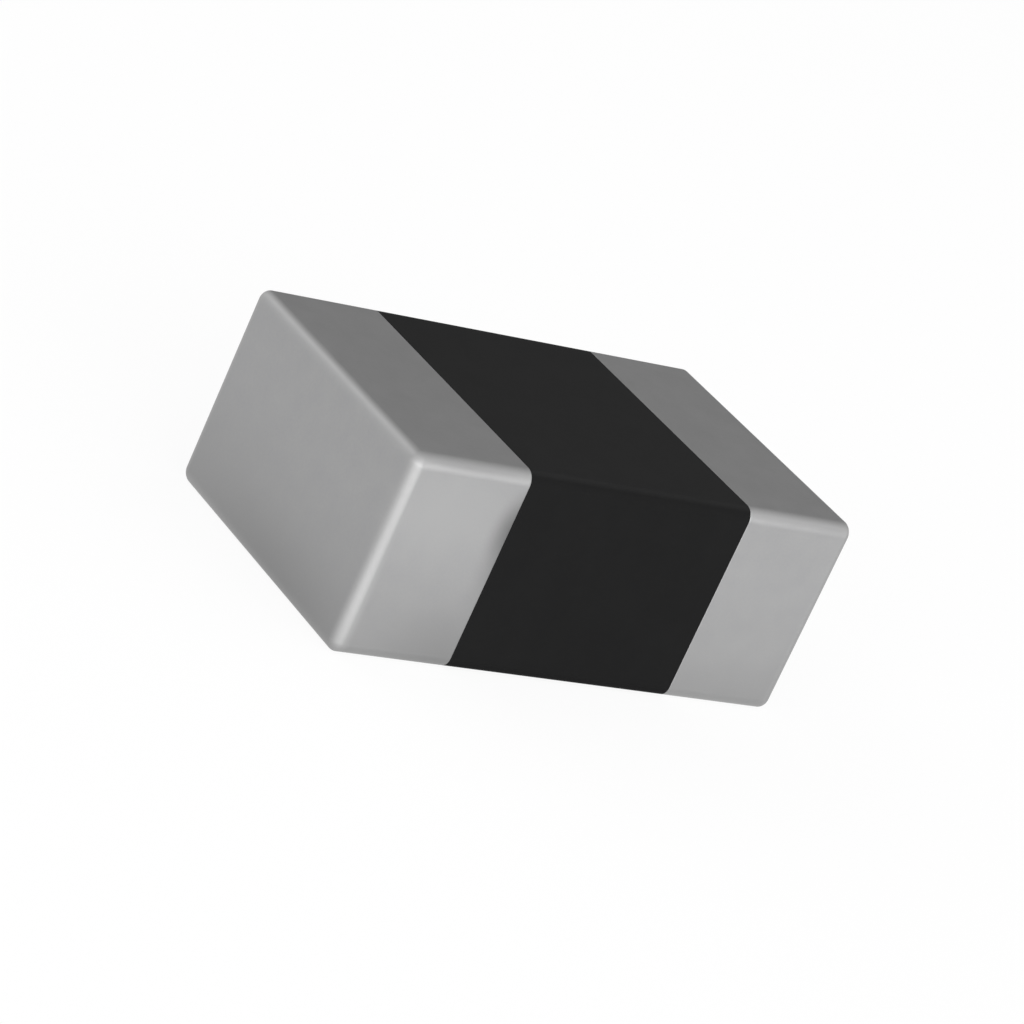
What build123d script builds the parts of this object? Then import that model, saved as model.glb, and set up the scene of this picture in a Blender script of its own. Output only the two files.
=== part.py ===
from build123d import *
import os

# Solid-ceramic chip resistor for surface mounting, two terminals, all sizes in millimetres
# X runs from the left cap to the right cap, Z is up, the origin is the middle of the underside

# Finished chip
length = 2.00
width = 1.25
height = 0.80
cap_length = 0.50

# Layers of a cap, from the ceramic outwards
silver_end_thickness = 0.040
silver_side_thickness = 0.012
nickel_thickness = 0.004
tin_thickness = 0.008

# How far the glass coat laps over the rim of each silver base
coat_lap = 0.030

# Ceramic block, its edges rounded by tumbling before it is fired
ceramic_edge_radius = 0.026

# The plated ends are slightly domed: their rounding reaches less far along the chip than across it
end_rounding = 0.038

# Metal films inside the ceramic, reaching the left and the right cap in turn
film_count = 6
film_thickness = 0.004
film_cover = 0.150
film_side_margin = 0.200
film_end_margin = 0.300
film_corner_radius = 0.040

# What the layers add on a side face and on an end face
plating_thickness = nickel_thickness + tin_thickness
side_thickness = silver_side_thickness + plating_thickness
end_thickness = silver_end_thickness + plating_thickness
edge_radius = ceramic_edge_radius + side_thickness

ceramic_length = length - 2 * end_thickness
ceramic_width = width - 2 * side_thickness
ceramic_height = height - 2 * side_thickness
film_pitch = (ceramic_height - 2 * film_cover - film_thickness) / (film_count - 1)


# The bare ceramic block
def ceramic_block():
    block = Box(ceramic_length, ceramic_width, ceramic_height)
    return Pos(0, 0, height / 2) * fillet(block.edges(), ceramic_edge_radius)


# The domed right end of a block: its flat, then the elliptic edge all round it
def domed_end(flat_width, flat_height, reach, radius):
    end = Box(reach, flat_width, flat_height, align=(Align.MIN, Align.CENTER, Align.CENTER))
    edge_profile = Ellipse(reach, radius) & Rectangle(reach, radius, align=(Align.MIN, Align.MIN))
    corner = revolve(edge_profile, Axis.X, 90)
    # Each turn adds the edge on one side of the flat and the corner that follows it
    for turn in range(4):
        across, along = (flat_width, flat_height) if turn % 2 == 0 else (flat_height, flat_width)
        edge = Pos(0, across / 2, -along / 2) * extrude(edge_profile, along)
        end += Rot(90 * turn, 0, 0) * (edge + Pos(0, across / 2, along / 2) * corner)
    return end


# The rounded block that is left when layers of this thickness are taken off the plated chip
def block_under(layers):
    radius = edge_radius - layers
    reach = end_rounding - layers
    half_length = length / 2 - layers
    block = Box(2 * (half_length - reach), width - 2 * layers, height - 2 * layers)
    block = fillet(block.edges().filter_by(Axis.X), radius)
    end = domed_end(width - 2 * edge_radius, height - 2 * edge_radius, reach, radius)
    right_end = Pos(half_length - reach, 0, 0) * end
    return Pos(0, 0, height / 2) * (block + right_end + Rot(0, 0, 180) * right_end)


# The stretch of a block at one end of the chip, side -1 for the left and 1 for the right
def end_of(block, side, reach):
    rim = Plane(origin=(side * (length / 2 - reach), 0, 0), z_dir=(side, 0, 0))
    return split(block, bisect_by=rim, keep=Keep.TOP)


# The stretch of a block between the two caps
def middle_of(block):
    gap_between_caps = length - 2 * cap_length
    return block & Pos(0, 0, height / 2) * Box(gap_between_caps, width, height)


# One metal film, flush with the ceramic at its own end and short of the other end
def inner_electrode(level, side):
    film_length = ceramic_length - film_end_margin
    film_width = ceramic_width - 2 * film_side_margin
    film = Box(film_length, film_width, film_thickness)
    free_corners = film.edges().filter_by(Axis.Z).sort_by(Axis.X)[:2]
    film = fillet(free_corners, film_corner_radius)
    # The film is drawn for the right cap and turned about the chip's middle for the left
    turn = 0 if side > 0 else 180
    film_middle = Pos((ceramic_length - film_length) / 2, 0, 0)
    film_bottom = (height - ceramic_height) / 2 + film_cover + level * film_pitch
    return Pos(0, 0, film_bottom + film_thickness / 2) * Rot(0, 0, turn) * film_middle * film


# The dark ceramic block with a slot for each film, open at the end where the film comes out
def ceramic_body(films):
    return ceramic_block() - films


# Black glass round the four long faces, level with the caps and rebated over the silver rims
def glass_coat():
    sleeve = middle_of(block_under(0)) - ceramic_block()
    silvered = block_under(plating_thickness)
    for side in (-1, 1):
        sleeve -= end_of(silvered, side, cap_length + coat_lap)
    return sleeve


# Fired silver over one end face and round onto the four long faces
def silver_base(side):
    return end_of(block_under(plating_thickness), side, cap_length + coat_lap) - ceramic_block()


# Nickel plated on the silver as far as the edge of the glass coat
def nickel_barrier(side):
    return end_of(block_under(tin_thickness), side, cap_length) - block_under(plating_thickness)


# Tin plated on the nickel, the outside of the cap
def tin_plating(side):
    return end_of(block_under(0), side, cap_length) - block_under(tin_thickness)


sides = {"left": -1, "right": 1}
side_names = list(sides)
nodes = {}

films = []
for level in range(film_count):
    side_name = side_names[level % len(side_names)]
    number_on_side = level // len(side_names) + 1
    film = inner_electrode(level, sides[side_name])
    films.append(film)
    nodes[f"{side_name}_inner_electrode_{number_on_side}"] = film

nodes["ceramic_body"] = ceramic_body(films)
nodes["glass_coat"] = glass_coat()
for side_name, side in sides.items():
    nodes[f"{side_name}_silver_base"] = silver_base(side)
    nodes[f"{side_name}_nickel_barrier"] = nickel_barrier(side)
    nodes[f"{side_name}_tin_plating"] = tin_plating(side)

os.makedirs("parts", exist_ok=True)
for node_name, solid in nodes.items():
    export_step(solid, f"parts/{node_name}.step")
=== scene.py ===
import math

import bmesh
import bpy
from mathutils import Matrix, Vector


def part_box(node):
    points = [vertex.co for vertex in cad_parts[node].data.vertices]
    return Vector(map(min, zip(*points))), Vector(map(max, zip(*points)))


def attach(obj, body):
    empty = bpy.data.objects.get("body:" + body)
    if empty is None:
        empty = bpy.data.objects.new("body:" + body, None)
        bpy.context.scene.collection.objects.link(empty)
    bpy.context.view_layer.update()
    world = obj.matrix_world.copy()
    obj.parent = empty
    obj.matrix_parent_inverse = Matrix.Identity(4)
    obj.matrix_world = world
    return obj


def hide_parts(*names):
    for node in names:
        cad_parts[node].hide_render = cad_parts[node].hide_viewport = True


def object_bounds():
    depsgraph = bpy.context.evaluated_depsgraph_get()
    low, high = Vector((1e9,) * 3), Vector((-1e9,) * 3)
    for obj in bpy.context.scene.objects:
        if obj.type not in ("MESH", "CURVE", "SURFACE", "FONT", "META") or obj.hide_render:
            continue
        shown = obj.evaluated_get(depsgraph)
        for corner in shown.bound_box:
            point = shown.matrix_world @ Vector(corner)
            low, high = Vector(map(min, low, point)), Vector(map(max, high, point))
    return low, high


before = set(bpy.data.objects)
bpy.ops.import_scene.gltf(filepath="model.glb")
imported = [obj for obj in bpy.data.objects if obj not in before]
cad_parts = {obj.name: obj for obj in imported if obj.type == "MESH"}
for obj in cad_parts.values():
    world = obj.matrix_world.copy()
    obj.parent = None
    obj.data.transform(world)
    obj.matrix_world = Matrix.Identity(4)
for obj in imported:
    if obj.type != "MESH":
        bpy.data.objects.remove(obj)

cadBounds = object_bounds()
print("frame loaded:", len(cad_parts), "nodes")

# lengths are in millimetres until a mesh or a place is handed to Blender
metresPerMm = 0.001


def boxInMm(node):
    low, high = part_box(node)
    return low / metresPerMm, high / metresPerMm


# sizes that the frame gives
chipLow, chipHigh = (Vector(corner) / metresPerMm for corner in cadBounds)
chipMiddle = (chipLow + chipHigh) / 2
chipHalf = (chipHigh - chipLow) / 2
leftSeam = boxInMm("left_tin_plating")[1].x
rightSeam = boxInMm("right_tin_plating")[0].x
leftSilverRim = boxInMm("left_silver_base")[1].x
rightSilverRim = boxInMm("right_silver_base")[0].x
tinThickness = boxInMm("left_nickel_barrier")[0].z - chipLow.z
platingThickness = boxInMm("left_silver_base")[0].z - chipLow.z
coatThickness = boxInMm("ceramic_body")[0].z - chipLow.z


def meshInMetres(bm, name):
    bmesh.ops.scale(bm, vec=(metresPerMm, metresPerMm, metresPerMm), verts=bm.verts)
    mesh = bpy.data.meshes.new(name)
    bm.to_mesh(mesh)
    bm.free()
    return mesh


def addObject(name, data):
    thing = bpy.data.objects.new(name, data)
    bpy.context.scene.collection.objects.link(thing)
    return thing


# the caps and the coat, cut from one rounded block

blockShape = {
    "edgeRadius": 0.05,  # the chip's outer rounded edges
    "endRounding": 0.038,  # how far the edges of an end reach along the chip
    "segments": 14,  # along the arc of each rounded edge
    "flatBorder": 0.005,  # a thin border keeps the shading of each flat face even
    "rimRadius": 0.002,  # where a cap or the coat ends at a seam
    "rimSegments": 3,
    "sharpAngle": 40,  # degrees
    "samePlace": 0.0002,  # points this close along the chip lie on one rim
}


def roundEdges(bm, edges, radius, segments):
    bmesh.ops.bevel(
        bm, geom=edges, offset=radius, offset_type="OFFSET", segments=segments,
        profile=0.5, affect="EDGES", material=-1)


def roundedBlock(inset):
    # a block whose faces lie this far inside the chip's outer faces
    radius = blockShape["edgeRadius"] - inset
    reach = blockShape["endRounding"] - inset
    half = chipHalf - Vector((inset, inset, inset))
    bm = bmesh.new()
    bmesh.ops.create_cube(bm, size=2)
    bmesh.ops.scale(bm, vec=half + Vector((radius - reach, 0, 0)), verts=bm.verts)
    roundEdges(bm, bm.edges[:], radius, blockShape["segments"])
    # the edges of both ends are pressed in along the chip, from round to elliptic
    for vert in bm.verts:
        intoEdge = abs(vert.co.x) - (half.x - reach)
        if intoEdge > 0:
            vert.co.x -= math.copysign(intoEdge * (1 - reach / radius), vert.co.x)
    bmesh.ops.translate(bm, vec=chipMiddle, verts=bm.verts)
    flatFaces = sorted(bm.faces, key=lambda face: face.calc_area())[-6:]  # the six largest
    bmesh.ops.inset_individual(bm, faces=flatFaces, thickness=blockShape["flatBorder"])
    return bm


def cutBlock(bm, start, end):
    # keep the stretch from start to end, open where it was cut; None leaves that end whole
    for cut, outward in ((start, -1), (end, 1)):
        if cut is None:
            continue
        border = cut - outward * blockShape["flatBorder"]
        for place, clear in ((cut, True), (border, False)):
            bmesh.ops.bisect_plane(
                bm, geom=bm.verts[:] + bm.edges[:] + bm.faces[:], plane_co=(place, 0, 0),
                plane_no=(outward, 0, 0), clear_outer=clear)


def addWall(bm, inset, start, end, inward=False):
    # one wall of a piece: its outside, or its inside when the faces point inward
    wall = roundedBlock(inset)
    cutBlock(wall, start, end)
    if inward:
        bmesh.ops.reverse_faces(wall, faces=wall.faces)
    carrier = bpy.data.meshes.new("wallCarrier")
    wall.to_mesh(carrier)
    wall.free()
    bm.from_mesh(carrier)
    bpy.data.meshes.remove(carrier)


def openEdges(bm):
    return [edge for edge in bm.edges if edge.is_boundary]


def closeRim(bm, place):
    # join the outside and the inside where both end at this place along the chip
    near = blockShape["samePlace"]
    loops = [edge for edge in openEdges(bm) if all(abs(v.co.x - place) < near for v in edge.verts)]
    bmesh.ops.bridge_loops(bm, edges=loops)


def finishPiece(bm, name, node, material, outerRims):
    # ease the outer rims and hang the piece on the chip
    roundEdges(bm, outerRims, blockShape["rimRadius"], blockShape["rimSegments"])
    bmesh.ops.recalc_face_normals(bm, faces=bm.faces)
    mesh = meshInMetres(bm, name)
    mesh.shade_smooth()
    mesh.set_sharp_from_angle(angle=math.radians(blockShape["sharpAngle"]))
    mesh.materials.append(material)
    piece = addObject(name, mesh)
    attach(piece, "root")
    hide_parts(node)
    print("made", name, "with", len(mesh.polygons), "faces")


def makeTinCap(name, node, start, end, material):
    # a thin tin cup over one end of the chip; the end that isn't None is its seam
    seam = end if start is None else start
    bm = bmesh.new()
    addWall(bm, 0, start, end)
    outerRims = openEdges(bm)
    addWall(bm, tinThickness, start, end, inward=True)
    closeRim(bm, seam)
    finishPiece(bm, name, node, material, outerRims)


def makeGlassCoat(name, node, material):
    # a sleeve between the caps, thinner where it laps over the silver rims
    bm = bmesh.new()
    addWall(bm, 0, leftSeam, rightSeam)
    outerRims = openEdges(bm)
    addWall(bm, platingThickness, leftSeam, leftSilverRim, inward=True)
    addWall(bm, coatThickness, leftSilverRim, rightSilverRim, inward=True)
    addWall(bm, platingThickness, rightSilverRim, rightSeam, inward=True)
    for place in (leftSeam, leftSilverRim, rightSilverRim, rightSeam):
        closeRim(bm, place)
    finishPiece(bm, name, node, material, outerRims)


# nodes

def emptyTree(owner):
    owner.use_nodes = True
    owner.node_tree.nodes.clear()
    return owner.node_tree


def plug(tree, value, socket):
    # value is another node's output, or else a number, place or colour for the socket itself
    if isinstance(value, bpy.types.NodeSocket):
        tree.links.new(value, socket)
    elif socket.type == "RGBA":
        socket.default_value = (*value, 1)
    else:
        socket.default_value = value


def plugAll(tree, node, inputs):
    for label, value in inputs.items():
        plug(tree, value, node.inputs[label])


def addNode(tree, kind, inputs, **settings):
    # inputs are given by name, or by number where a node's inputs share one name
    node = tree.nodes.new(kind)
    for name, value in settings.items():
        setattr(node, name, value)
    plugAll(tree, node, inputs)
    return node


def calculate(tree, operation, *values):
    node = addNode(tree, "ShaderNodeMath", dict(enumerate(values)), operation=operation)
    return node.outputs["Value"]


def calculateVector(tree, operation, *values, output="Vector"):
    node = addNode(tree, "ShaderNodeVectorMath", dict(enumerate(values)), operation=operation)
    return node.outputs[output]


def splitVector(tree, vector):
    return addNode(tree, "ShaderNodeSeparateXYZ", {"Vector": vector}).outputs


def remap(tree, value, source, target, interpolation="LINEAR"):
    # source and target are the ends of the range before and after
    node = addNode(tree, "ShaderNodeMapRange", {
        "Value": value, "From Min": source[0], "From Max": source[1],
        "To Min": target[0], "To Max": target[1]}, interpolation_type=interpolation)
    return node.outputs["Result"]


def addFade(tree, value, full, none, strength):
    # strength where value is at full, falling smoothly to 0 where it is at none
    return remap(tree, value, (full, none), (strength, 0.0), "SMOOTHSTEP")


def mixColours(tree, factor, first, second):
    mix = addNode(tree, "ShaderNodeMix", {"Factor": factor, "A": first, "B": second}, data_type="RGBA")
    return mix.outputs["Result"]


# effects that several finishes share

noiseDetail = {"Blotches": 3.0, "Grain": 2.0}
noiseRange = (0.3, 0.7)  # noise keeps near its middle, so this range of it is stretched


def newGroup(name, inputs, outputs):
    # also gives the sockets to read the group's inputs from, and the node that takes its results
    group = bpy.data.node_groups.new(name, "ShaderNodeTree")
    for direction, sockets in (("INPUT", inputs), ("OUTPUT", outputs)):
        for label, kind in sockets.items():
            group.interface.new_socket(label, in_out=direction, socket_type=kind)
    given = group.nodes.new("NodeGroupInput")
    result = group.nodes.new("NodeGroupOutput")
    return group, given.outputs, result


def makeGrainGroup():
    # soft blotches with a finer grain on them; sizes are in millimetres
    inputs = {
        "Place": "NodeSocketVector", "Blotch Size": "NodeSocketFloat",
        "Grain Size": "NodeSocketFloat", "Grain Share": "NodeSocketFloat"}
    outputs = {"Blotches": "NodeSocketFloat", "Grain": "NodeSocketFloat", "Both": "NodeSocketFloat"}
    group, given, result = newGroup("surfaceGrain", inputs, outputs)
    layers = {}
    for name, size in (("Blotches", given["Blotch Size"]), ("Grain", given["Grain Size"])):
        noise = addNode(group, "ShaderNodeTexNoise", {
            "Vector": given["Place"], "Scale": calculate(group, "DIVIDE", 1.0, size),
            "Detail": noiseDetail[name]})
        layers[name] = noise.outputs["Fac"]
    both = addNode(group, "ShaderNodeMix", {
        "Factor": given["Grain Share"], "A": layers["Blotches"], "B": layers["Grain"]}, data_type="FLOAT")
    plugAll(group, result, {**layers, "Both": both.outputs["Result"]})
    return group


def makeEdgeGroup():
    # 1 on the chip's rounded edges or corners, fading to 0 within Reach millimetres of them
    inputs = {"Place": "NodeSocketVector", "Half Size": "NodeSocketVector", "Reach": "NodeSocketFloat"}
    outputs = {"Edges": "NodeSocketFloat", "Corners": "NodeSocketFloat"}
    group, given, result = newGroup("edgeNearness", inputs, outputs)
    fromMiddle = calculateVector(group, "ABSOLUTE", given["Place"])
    x, y, z = splitVector(group, calculateVector(group, "SUBTRACT", given["Half Size"], fromMiddle))
    # an edge lies near two of the chip's three pairs of faces, and a corner near all three
    shallower = calculate(group, "MINIMUM", x, y)
    deeper = calculate(group, "MAXIMUM", x, y)
    secondDepth = calculate(group, "MAXIMUM", shallower, calculate(group, "MINIMUM", deeper, z))
    thirdDepth = calculate(group, "MAXIMUM", deeper, z)
    plugAll(group, result, {
        "Edges": addFade(group, secondDepth, 0.0, given["Reach"], 1.0),
        "Corners": addFade(group, thirdDepth, 0.0, given["Reach"], 1.0)})
    return group


def makeUpperFaceGroup():
    # 1 on the upper face, fading to 0 down its rounded edges, where the dust film and its painted tone
    # lie; heights are over the chip's middle
    inputs = {
        "Place": "NodeSocketVector", "Full Height": "NodeSocketFloat", "Bare Height": "NodeSocketFloat"}
    group, given, result = newGroup("upperFaceFilm", inputs, {"Upper Face": "NodeSocketFloat"})
    height = splitVector(group, given["Place"])["Z"]
    upperFace = addFade(group, height, given["Full Height"], given["Bare Height"], 1.0)
    plugAll(group, result, {"Upper Face": upperFace})
    return group


grainGroup = makeGrainGroup()
edgeGroup = makeEdgeGroup()
upperFaceGroup = makeUpperFaceGroup()


def addGrain(tree, place, look):
    return addNode(tree, "ShaderNodeGroup", {
        "Place": place, "Blotch Size": look["blotchSize"], "Grain Size": look["grainSize"],
        "Grain Share": look["grainShare"]}, node_tree=grainGroup).outputs


def addEdges(tree, place, look):
    return addNode(tree, "ShaderNodeGroup", {
        "Place": place, "Half Size": chipHalf, "Reach": look["edgeReach"]}, node_tree=edgeGroup).outputs


def addUpperFace(tree, place, look):
    full, bare = look["upperFaceFade"]
    return addNode(tree, "ShaderNodeGroup", {
        "Place": place, "Full Height": full, "Bare Height": bare}, node_tree=upperFaceGroup).outputs["Upper Face"]


def addSpots(tree, place, colour, spots, spotColour):
    # soft spots, each with a middle, three half lengths in millimetres and a strength
    for middle, reach, strength in spots:
        offset = calculateVector(tree, "SUBTRACT", place, middle)
        distance = calculateVector(
            tree, "LENGTH", calculateVector(tree, "DIVIDE", offset, reach), output="Value")
        colour = mixColours(tree, addFade(tree, distance, 0.0, 1.0, strength), colour, spotColour)
    return colour


def addRelief(tree, height, depth):
    # depth is the relief's height in millimetres
    bump = addNode(tree, "ShaderNodeBump", {"Height": height, "Distance": depth * metresPerMm})
    return bump.outputs["Normal"]


# finishes

def newFinish(name):
    material = bpy.data.materials.new(name)
    tree = emptyTree(material)
    shader = addNode(tree, "ShaderNodeBsdfPrincipled", {})
    addNode(tree, "ShaderNodeOutputMaterial", {"Surface": shader.outputs["BSDF"]})
    # places in millimetres from the chip's middle
    coordinates = addNode(tree, "ShaderNodeTexCoord", {})
    place = addNode(tree, "ShaderNodeMapping", {
        "Vector": coordinates.outputs["Object"], "Location": -chipMiddle,
        "Scale": Vector((1, 1, 1)) / metresPerMm}, vector_type="POINT")
    return material, tree, shader, place.outputs["Vector"]


tinLook = {
    "darkColour": (0.33, 0.33, 0.335),
    "lightColour": (0.355, 0.355, 0.355),
    "rubbedColour": (0.378, 0.378, 0.378),  # where handling has rubbed the rounded edges
    # painted highlight on the corners
    "paintedCornerHighlight": (0.43, 0.43, 0.43),
    # painted shade, darker toward the bottom
    "paintedShadeColour": (0.27, 0.27, 0.27),
    "paintedBottomFade": (-0.42, 0.15, 0.65),  # painted shade, darker toward the bottom, from height to height, and how much
    "paintedFootFade": (-0.42, -0.3, 0.4),  # painted shade once more at the very foot, its edges too
    # middle, half lengths and strength of each soft spot
    "paintedEdgeHighlights": [((-0.975, -0.615, -0.36), (0.05, 0.05, 0.66), 0.7)],  # painted highlight down the front left edge, as bright as a corner
    # painted light: soft patches lighter on the fronts of the caps
    "paintedLightColour": (0.38, 0.38, 0.38),
    "paintedLightPatches": [
        ((-0.8, -0.625, 0.2), (0.5, 0.12, 0.28), 0.65),
        ((0.75, -0.625, -0.16), (0.5, 0.12, 0.17), 0.24),
    ],
    # painted shade: soft dark spots beside the left seam, at the feet and along the left cap's upper edge
    "paintedShadeSpotColour": (0.12, 0.12, 0.12),
    "paintedShadeSpots": [
        ((-0.46, -0.625, 0.18), (0.14, 0.1, 0.2), 0.85),  # beside the left seam
        ((-0.46, -0.625, 0.08), (0.14, 0.1, 0.34), 0.45),
        ((-0.52, -0.625, -0.38), (0.42, 0.1, 0.34), 0.27),  # and at its foot
        ((-1.0, -0.15, -0.42), (0.12, 0.9, 0.32), 0.27),  # at the foot of the left end
        ((-0.78, -0.62, 0.376), (0.38, 0.1, 0.035), 0.19),  # along the left cap's upper edge
    ],
    "darkPaintedTopFilm": (0.206, 0.206, 0.206),  # a dust film on the upper face, its colour painted shade that darkens the top
    "lightPaintedTopFilm": (0.222, 0.222, 0.222),
    "upperFaceFade": (0.404, 0.382),  # full and bare height over the chip's middle
    "metallic": (1.0, 0.4),  # bare, and under the dust film and painted shade of the upper face
    "roughness": (0.53, 0.57),
    "cornerRoughness": 0.3,  # more of it on the corners, where the plating grows coarser
    "specular": 0.0,
    "blotchSize": 0.09,
    "grainSize": 0.012,
    "grainShare": 0.35,
    "edgeReach": 0.06,
    "reliefDepth": 0.0006,
}


def makeMatteTin():
    look = tinLook
    material, tree, shader, place = newFinish("matteTin")
    grain = addGrain(tree, place, look)
    edges = addEdges(tree, place, look)
    upperFace = addUpperFace(tree, place, look)
    height = splitVector(tree, place)["Z"]
    # painted shade toward the bottom
    paintedBottomShade = addFade(tree, height, *look["paintedBottomFade"])
    # painted shade at the very foot
    paintedFootShade = addFade(tree, height, *look["paintedFootFade"])
    speckle = remap(tree, grain["Both"], noiseRange, (0.0, 1.0))
    colour = mixColours(tree, speckle, look["darkColour"], look["lightColour"])
    # painted shade, darker toward the bottom
    colour = mixColours(tree, paintedBottomShade, colour, look["paintedShadeColour"])
    # painted light in soft patches
    colour = addSpots(tree, place, colour, look["paintedLightPatches"], look["paintedLightColour"])
    colour = mixColours(tree, edges["Edges"], colour, look["rubbedColour"])
    # painted highlight on the corners
    colour = mixColours(tree, edges["Corners"], colour, look["paintedCornerHighlight"])
    # painted highlight down the lower part of the front left edge
    colour = addSpots(tree, place, colour, look["paintedEdgeHighlights"], look["paintedCornerHighlight"])
    # painted shade at the very foot, over the edges too
    colour = mixColours(tree, paintedFootShade, colour, look["paintedShadeColour"])
    # painted shade in soft spots
    colour = addSpots(tree, place, colour, look["paintedShadeSpots"], look["paintedShadeSpotColour"])
    # the upper face's dust film, its colour painted shade
    paintedTopColour = mixColours(tree, speckle, look["darkPaintedTopFilm"], look["lightPaintedTopFilm"])
    blotchyRoughness = remap(tree, grain["Blotches"], noiseRange, look["roughness"])
    plugAll(tree, shader, {
        "Base Color": mixColours(tree, upperFace, colour, paintedTopColour),
        "Metallic": remap(tree, upperFace, (0.0, 1.0), look["metallic"]),
        "Roughness": calculate(
            tree, "MULTIPLY_ADD", edges["Corners"], look["cornerRoughness"], blotchyRoughness),
        "Specular IOR Level": look["specular"],
        "Normal": addRelief(tree, grain["Both"], look["reliefDepth"])})
    return material


coatLook = {
    "darkColour": (0.0097, 0.0097, 0.0098),
    "lightColour": (0.0107, 0.0107, 0.0108),
    # worn edges, their colour also painted light filling a dark dip in the edges' shading
    "wornEdgePaintedLight": (0.0102, 0.0102, 0.0103),
    "darkPaintedTopFilm": (0.0193, 0.0193, 0.0194),  # a dust film on the upper face, its colour painted light that lightens the top
    "lightPaintedTopFilm": (0.0209, 0.0209, 0.0210),
    "upperFaceFade": (0.404, 0.382),  # full and bare height over the chip's middle
    "roughness": (0.29, 0.34),
    "specular": 0.002,
    "blotchSize": 0.14,
    "grainSize": 0.008,
    "grainShare": 0.3,
    "edgeReach": 0.05,
    "reliefDepth": 0.0004,
}


def makeBlackGlass():
    look = coatLook
    material, tree, shader, place = newFinish("blackGlass")
    grain = addGrain(tree, place, look)
    edges = addEdges(tree, place, look)
    upperFace = addUpperFace(tree, place, look)
    speckle = remap(tree, grain["Both"], noiseRange, (0.0, 1.0))
    colour = mixColours(tree, speckle, look["darkColour"], look["lightColour"])
    # worn edges, their colour also painted light
    colour = mixColours(tree, edges["Edges"], colour, look["wornEdgePaintedLight"])
    # the upper face's dust film, its colour painted light
    paintedTopColour = mixColours(tree, speckle, look["darkPaintedTopFilm"], look["lightPaintedTopFilm"])
    plugAll(tree, shader, {
        "Base Color": mixColours(tree, upperFace, colour, paintedTopColour),
        "Metallic": 0.0,
        "Roughness": remap(tree, grain["Blotches"], noiseRange, look["roughness"]),
        "Specular IOR Level": look["specular"],
        "Normal": addRelief(tree, grain["Both"], look["reliefDepth"])})
    return material


# of the pieces that the caps and the coat seal in
innerLooks = {
    "firedSilver": {
        "darkColour": (0.62, 0.6, 0.55), "lightColour": (0.8, 0.78, 0.74), "metallic": 1.0,
        "roughness": (0.4, 0.65), "blotchSize": 0.05, "grainSize": 0.01, "grainShare": 0.6,
        "reliefDepth": 0.002},
    "platedNickel": {
        "darkColour": (0.5, 0.47, 0.41), "lightColour": (0.62, 0.59, 0.53), "metallic": 1.0,
        "roughness": (0.25, 0.35), "blotchSize": 0.08, "grainSize": 0.01, "grainShare": 0.4,
        "reliefDepth": 0.0005},
    "electrodeFilm": {
        "darkColour": (0.46, 0.44, 0.41), "lightColour": (0.66, 0.64, 0.6), "metallic": 1.0,
        "roughness": (0.45, 0.6), "blotchSize": 0.06, "grainSize": 0.015, "grainShare": 0.7,
        "reliefDepth": 0.0005},
    "resistiveCeramic": {
        "darkColour": (0.03, 0.027, 0.025), "lightColour": (0.06, 0.054, 0.05), "metallic": 0.0,
        "roughness": (0.6, 0.8), "blotchSize": 0.1, "grainSize": 0.01, "grainShare": 0.7,
        "reliefDepth": 0.0015},
}


def makeInnerFinish(name):
    look = innerLooks[name]
    material, tree, shader, place = newFinish(name)
    grain = addGrain(tree, place, look)
    speckle = remap(tree, grain["Both"], noiseRange, (0.0, 1.0))
    plugAll(tree, shader, {
        "Base Color": mixColours(tree, speckle, look["darkColour"], look["lightColour"]),
        "Metallic": look["metallic"],
        "Roughness": remap(tree, grain["Blotches"], noiseRange, look["roughness"]),
        "Normal": addRelief(tree, grain["Grain"], look["reliefDepth"])})
    return material


matteTin = makeMatteTin()
blackGlass = makeBlackGlass()
finishOfWord = {
    "silver": makeInnerFinish("firedSilver"),
    "nickel": makeInnerFinish("platedNickel"),
    "electrode": makeInnerFinish("electrodeFilm"),
    "ceramic": makeInnerFinish("resistiveCeramic"),
    "tin": matteTin,
    "glass": blackGlass,
}
for nodeName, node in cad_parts.items():
    word = next(word for word in finishOfWord if word in nodeName)
    node.data.materials.clear()
    node.data.materials.append(finishOfWord[word])
print("finishes made:", len(finishOfWord))

makeTinCap("leftTinCap", "left_tin_plating", None, leftSeam, matteTin)
makeTinCap("rightTinCap", "right_tin_plating", rightSeam, None, matteTin)
makeGlassCoat("blackGlassCoat", "glass_coat", blackGlass)

# camera, floor, sky and lamps

cameraPlan = {
    "azimuth": -39.75,  # degrees round the chip, 0 looks along +Y
    "elevation": 19.61,
    "roll": 24.72,
    "distance": 15.75,
    "aim": (-0.013, -0.0074, 0.3605),
    "lens": 151.62,
    "sensor": 36.0,
    "clipStart": 1.0,
    "clipEnd": 2000.0,
}


def placedFacing(azimuth, elevation, distance, aim, roll=0.0):
    # the matrix of a camera or lamp that looks at aim from these angles in degrees
    around = math.radians(azimuth)
    above = math.radians(elevation)
    level = math.cos(above)
    back = Vector((math.sin(around) * level, -math.cos(around) * level, math.sin(above)))
    right = Vector((0, 0, 1)).cross(back).normalized()
    turn = Matrix((right, back.cross(right), back)).transposed().to_4x4()
    place = (Vector(aim) + back * distance) * metresPerMm
    return Matrix.Translation(place) @ turn @ Matrix.Rotation(math.radians(roll), 4, "Z")


def makeCamera():
    plan = cameraPlan
    camera = addObject("camera", bpy.data.cameras.new("camera"))
    camera.data.lens = plan["lens"]
    camera.data.sensor_width = plan["sensor"]
    camera.data.clip_start = plan["clipStart"] * metresPerMm
    camera.data.clip_end = plan["clipEnd"] * metresPerMm
    camera.matrix_world = placedFacing(
        plan["azimuth"], plan["elevation"], plan["distance"], plan["aim"], plan["roll"])
    bpy.context.scene.camera = camera


floorPlan = {
    "height": -0.001,  # just under the chip, so that the two don't share one plane
    "radius": 600.0,
    "sides": 96,
    "colour": (0.9, 0.9, 0.9),
    "whiteShare": 0.9,  # how much of what is seen of the floor is plain white paper
}


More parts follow.
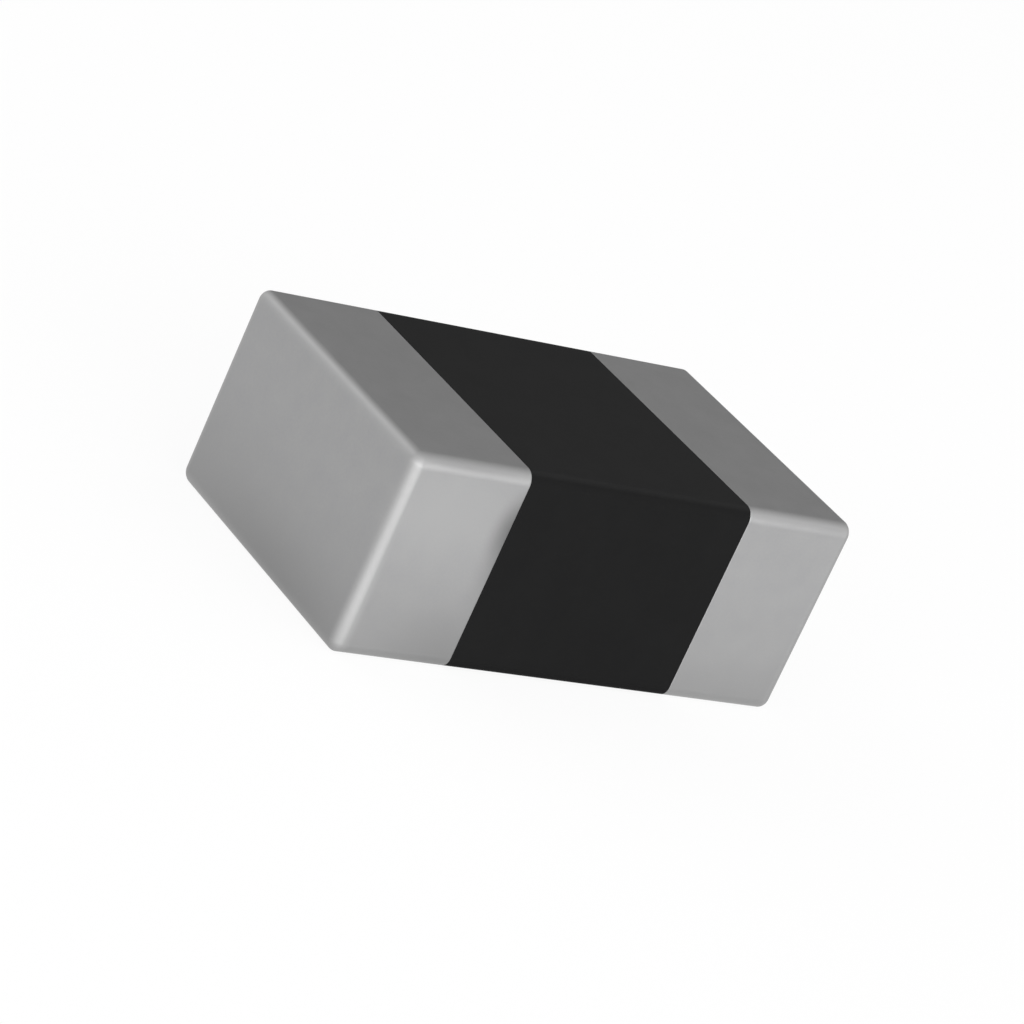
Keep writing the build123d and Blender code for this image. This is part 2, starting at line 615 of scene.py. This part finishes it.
def makeFloor():
    plan = floorPlan
    material = bpy.data.materials.new("whitePaper")
    tree = emptyTree(material)
    paper = addNode(tree, "ShaderNodeBsdfDiffuse", {"Color": plan["colour"]})
    white = addNode(tree, "ShaderNodeEmission", {})
    rays = addNode(tree, "ShaderNodeLightPath", {}).outputs
    cameraOrGlossy = calculate(tree, "MAXIMUM", rays["Is Camera Ray"], rays["Is Glossy Ray"])
    seen = calculate(tree, "MAXIMUM", cameraOrGlossy, rays["Is Transmission Ray"])
    mix = addNode(tree, "ShaderNodeMixShader", {
        0: calculate(tree, "MULTIPLY", seen, plan["whiteShare"]),
        1: paper.outputs["BSDF"], 2: white.outputs["Emission"]})
    addNode(tree, "ShaderNodeOutputMaterial", {"Surface": mix.outputs["Shader"]})
    bm = bmesh.new()
    bmesh.ops.create_circle(bm, cap_ends=True, segments=plan["sides"], radius=plan["radius"])
    bmesh.ops.translate(bm, vec=(0, 0, plan["height"]), verts=bm.verts)
    mesh = meshInMetres(bm, "paperFloor")
    mesh.materials.append(material)
    floor = addObject("paperFloor", mesh)


skyPlan = {
    "horizonColour": (1.0, 1.0, 1.0),
    "upperColour": (0.18, 0.18, 0.18),
    "fadeHeights": (0.05, 0.2),  # sines of the elevations where the fade starts and ends
}


def makeSky():
    plan = skyPlan
    world = bpy.data.worlds.new("studio")
    tree = emptyTree(world)
    coordinates = addNode(tree, "ShaderNodeTexCoord", {})
    height = splitVector(tree, coordinates.outputs["Generated"])["Z"]
    upward = remap(tree, height, plan["fadeHeights"], (0.0, 1.0), "SMOOTHSTEP")
    colour = mixColours(tree, upward, plan["horizonColour"], plan["upperColour"])
    background = addNode(tree, "ShaderNodeBackground", {"Color": colour})
    addNode(tree, "ShaderNodeOutputWorld", {"Surface": background.outputs["Background"]})
    bpy.context.scene.world = world


lampPlan = {
    "distance": 60.0,
    "softboxes": {
        "keyBox": {
            "azimuth": -26.5, "elevation": 17.3, "width": 150.0, "height": 37.5, "brightness": 4.95},
        "backBox": {
            "azimuth": -150.0, "elevation": 34.0, "width": 85.0, "height": 50.0, "brightness": 1.36},
        "sideBox": {
            "azimuth": 66.0, "elevation": 52.0, "width": 95.0, "height": 68.0, "brightness": 1.01},
    },
}


def makeLamps():
    plan = lampPlan
    for name, box in plan["softboxes"].items():
        lamp = bpy.data.lights.new(name, "AREA")
        lamp.shape = "RECTANGLE"
        lamp.size = box["width"] * metresPerMm
        lamp.size_y = box["height"] * metresPerMm
        lamp.energy = box["brightness"] * math.pi * lamp.size * lamp.size_y
        softbox = addObject(name, lamp)
        softbox.matrix_world = placedFacing(
            box["azimuth"], box["elevation"], plan["distance"], chipMiddle)


makeCamera()
makeFloor()
makeSky()
makeLamps()
bpy.context.scene.view_settings.view_transform = "Standard"
print("studio set")

bpy.context.view_layer.update()
